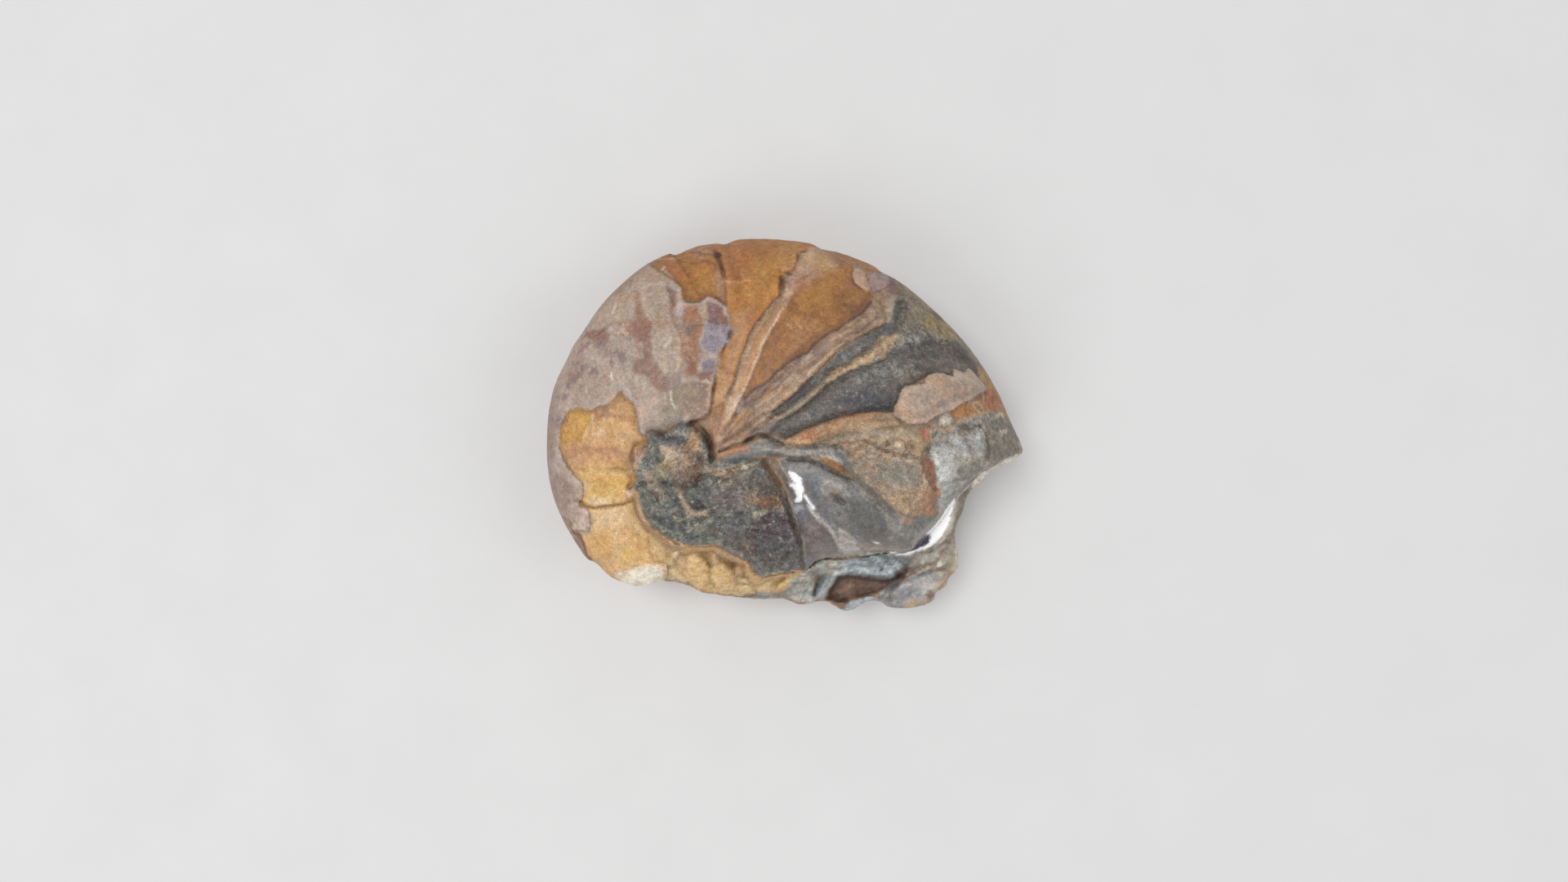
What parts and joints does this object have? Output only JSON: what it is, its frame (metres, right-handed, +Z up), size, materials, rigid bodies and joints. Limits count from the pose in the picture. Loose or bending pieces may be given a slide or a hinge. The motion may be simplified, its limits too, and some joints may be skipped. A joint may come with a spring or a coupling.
{
  "type": "fossil nautiloid",
  "caption": "Coiled fossil shell turned to stone, broken open at its mouth, lying on its flank on a small worn flat.",
  "frame": {"origin": "on the surface the fossil rests on, under the middle of its bounding box", "axes": "+Z up, out of the upper flank; +X from the back of the coil towards the broken mouth; +Y towards the crown of the shell"},
  "size_m": [0.0712, 0.0564, 0.0324],
  "materials": {
    "fossil_stone": "mottled mauve-brown, orange and golden fossil stone, rough, with smoother darker grey patches"
  },
  "bodies": {
    "root": {"nautiloid": "fossil_stone"}
  },
  "joints": []
}
